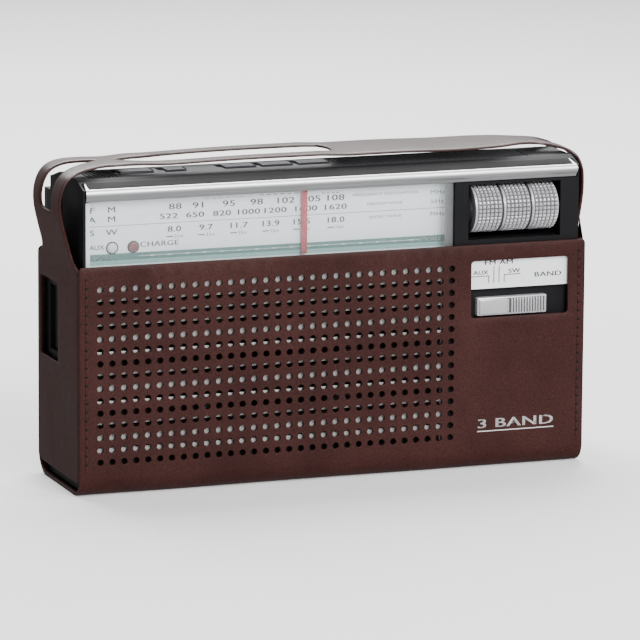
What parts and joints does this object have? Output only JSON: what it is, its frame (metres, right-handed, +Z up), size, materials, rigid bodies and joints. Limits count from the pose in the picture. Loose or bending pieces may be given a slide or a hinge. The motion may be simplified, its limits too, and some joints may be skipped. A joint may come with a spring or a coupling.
{
  "type": "shortwave receiver",
  "caption": "Portable multi-band receiver in a perforated leather case: long dial with sliding pointer, thumb wheels, band switch, top keys, strap handle and telescopic aerial.",
  "frame": {"origin": "centre of the leather case's underside, on the surface it stands on", "axes": "+X to the viewer's right along the dial, +Y from the dial to the back, +Z up"},
  "size_m": [0.245, 0.0627, 0.1429],
  "materials": {
    "brown_leather": "satin, dark reddish brown",
    "black_plastic": "fine textured black",
    "grey_plastic": "dark grey deck",
    "bright_trim": "satin silver",
    "clear_window": "clear acrylic",
    "silver_print": "satin silver with dark print",
    "red_lens": "translucent red",
    "clear_lens": "clear lens in a bright ring",
    "bright_plastic": "silver plated",
    "circuit_board": "green solder mask",
    "component": "mixed components",
    "steel": "plated steel",
    "chrome": "polished",
    "paper_cone": "black paper",
    "ferrite": "sintered grey black",
    "copper_wire": "lacquered winding",
    "cord": "waxed cord",
    "white_plastic": "natural nylon",
    "cell_wrap": "shrink sleeve",
    "brass_snap": "antique brass",
    "mesh": "black expanded metal"
  },
  "bodies": {
    "receiver": {"aerial_clip": "black_plastic", "aerial_coils": "copper_wire", "aerial_knuckle": "black_plastic", "band_label": "silver_print", "band_switch": "steel", "battery_box": "black_plastic", "battery_cells": "cell_wrap", "battery_contacts": "steel", "board_parts": "component", "cabinet": "black_plastic", "case_snaps": "brass_snap", "case_strap": "brown_leather", "case_wrap": "brown_leather", "charge_lamp": "red_lens", "charge_socket": "steel", "cover_screws": "steel", "deck_grille": "grey_plastic", "dial_cord": "cord", "dial_plate": "silver_print", "dial_window": "clear_window", "ferrite_rod": "ferrite", "key_switches": "component", "main_board": "circuit_board", "mesh_panel": "mesh", "phone_socket": "component", "power_socket": "component", "pulley_bracket": "steel", "rear_cover": "black_plastic", "rod_holders": "white_plastic", "small_boards": "circuit_board", "socket_panel": "black_plastic", "speaker_cone": "paper_cone", "speaker_frame": "steel", "speaker_grille": "bright_trim", "speaker_magnet": "ferrite", "status_lamp": "clear_lens", "tone_control": "component", "trim_bar": "bright_trim", "tuning_capacitor": "white_plastic", "volume_control": "component", "wheel_axle": "steel"},
    "tone_wheel": {"tone_wheel": "bright_plastic"},
    "volume_wheel": {"volume_wheel": "bright_plastic"},
    "tuning_wheel": {"tuning_wheel": "bright_plastic"},
    "left_pulley": {"left_pulley": "white_plastic"},
    "right_pulley": {"right_pulley": "white_plastic"},
    "cord_drum": {"cord_drum": "white_plastic"},
    "pointer": {"pointer": "red_lens"},
    "band_slider": {"band_slider": "bright_plastic"},
    "battery_door": {"battery_door": "black_plastic"},
    "aerial_mast": {"aerial_section_1": "chrome"},
    "aerial_second": {"aerial_section_2": "chrome"},
    "aerial_third": {"aerial_section_3": "chrome"},
    "aerial_tip": {"aerial_section_4": "chrome"},
    "power_key": {"power_key": "grey_plastic"},
    "mode_key": {"mode_key": "grey_plastic"},
    "back_key": {"back_key": "grey_plastic"},
    "play_key": {"play_key": "grey_plastic"},
    "next_key": {"next_key": "grey_plastic"}
  },
  "joints": [
    {"name": "tuning_turn", "type": "hinge", "parent": "receiver", "child": "tuning_wheel", "pos_m": [0.0976, -0.0205, 0.116], "axis": [1, 0, 0], "range_deg": [-690, 169]},
    {"name": "volume_turn", "type": "hinge", "parent": "receiver", "child": "volume_wheel", "pos_m": [0.0842, -0.0205, 0.116], "axis": [1, 0, 0], "range_deg": [-120, 150]},
    {"name": "tone_turn", "type": "hinge", "parent": "receiver", "child": "tone_wheel", "pos_m": [0.0708, -0.0205, 0.116], "axis": [1, 0, 0], "range_deg": [-135, 135]},
    {"name": "pointer_slide", "type": "slide", "parent": "receiver", "child": "pointer", "axis": [1, 0, 0], "range_m": [-0.0613, 0.0151]},
    {"name": "cord_drum_turn", "type": "hinge", "parent": "receiver", "child": "cord_drum", "pos_m": [0.028, -0.0176, 0.104], "axis": [0, 1, 0], "range_deg": [-280, 70]},
    {"name": "left_pulley_turn", "type": "hinge", "parent": "receiver", "child": "left_pulley", "pos_m": [-0.104, -0.0176, 0.126], "axis": [0, 1, 0], "range_deg": [-1172, 290]},
    {"name": "right_pulley_turn", "type": "hinge", "parent": "receiver", "child": "right_pulley", "pos_m": [0.047, -0.0176, 0.126], "axis": [0, 1, 0], "range_deg": [-1172, 290]},
    {"name": "band_slide", "type": "slide", "parent": "receiver", "child": "band_slider", "axis": [1, 0, 0], "range_m": [0, 0.00735]},
    {"name": "power_key_press", "type": "slide", "parent": "receiver", "child": "power_key", "axis": [0, 0, -1], "range_m": [0, 0.0008], "stiffness_N_per_m": 1500, "springref_m": -0.0004},
    {"name": "mode_key_press", "type": "slide", "parent": "receiver", "child": "mode_key", "axis": [0, 0, -1], "range_m": [0, 0.0008], "stiffness_N_per_m": 1500, "springref_m": -0.0004},
    {"name": "back_key_press", "type": "slide", "parent": "receiver", "child": "back_key", "axis": [0, 0, -1], "range_m": [0, 0.0008], "stiffness_N_per_m": 1500, "springref_m": -0.0004},
    {"name": "play_key_press", "type": "slide", "parent": "receiver", "child": "play_key", "axis": [0, 0, -1], "range_m": [0, 0.0008], "stiffness_N_per_m": 1500, "springref_m": -0.0004},
    {"name": "next_key_press", "type": "slide", "parent": "receiver", "child": "next_key", "axis": [0, 0, -1], "range_m": [0, 0.0008], "stiffness_N_per_m": 1500, "springref_m": -0.0004},
    {"name": "door_swing", "type": "hinge", "parent": "receiver", "child": "battery_door", "pos_m": [0.061, 0.027, 0.0124], "axis": [-1, 0, 0], "range_deg": [0, 80]},
    {"name": "aerial_tilt", "type": "hinge", "parent": "receiver", "child": "aerial_mast", "pos_m": [-0.102, 0.0242, 0.1306], "axis": [0, -1, 0], "range_deg": [0, 90]},
    {"name": "aerial_second_slide", "type": "slide", "parent": "aerial_mast", "child": "aerial_second", "axis": [1, 0, 0], "range_m": [0, 0.165]},
    {"name": "aerial_third_slide", "type": "slide", "parent": "aerial_second", "child": "aerial_third", "axis": [1, 0, 0], "range_m": [0, 0.165]},
    {"name": "aerial_tip_slide", "type": "slide", "parent": "aerial_third", "child": "aerial_tip", "axis": [1, 0, 0], "range_m": [0, 0.165]}
  ],
  "couplings": [
    {"joint": "pointer_slide", "follows": "tuning_turn", "m_per_rad": 0.0050819},
    {"joint": "cord_drum_turn", "follows": "tuning_turn", "ratio": 0.40332},
    {"joint": "left_pulley_turn", "follows": "tuning_turn", "ratio": 1.694},
    {"joint": "right_pulley_turn", "follows": "tuning_turn", "ratio": 1.694}
  ]
}
